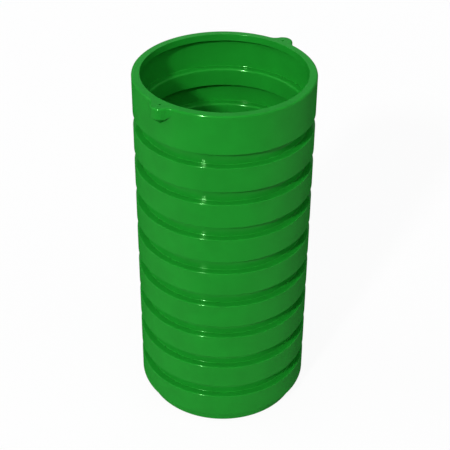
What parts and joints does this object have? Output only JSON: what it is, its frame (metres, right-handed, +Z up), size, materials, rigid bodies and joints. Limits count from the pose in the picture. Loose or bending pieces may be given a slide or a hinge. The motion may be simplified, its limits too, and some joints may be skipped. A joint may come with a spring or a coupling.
{
  "type": "tank riser extension",
  "caption": "Upright banded plastic barrel, open at both ends, with a spigot foot, a thick inner lip at the rim and screw ears for a lid.",
  "frame": {"origin": "centre of the foot of the spigot, on the surface that the riser stands on", "axes": "+Z up along the barrel's axis; the two screw ears lie on +X and -X"},
  "size_m": [0.6368, 0.577, 1.219],
  "materials": {
    "green_polyethylene": "smooth moulded gloss, coloured through"
  },
  "bodies": {
    "root": {"riser_barrel": "green_polyethylene"}
  },
  "joints": []
}
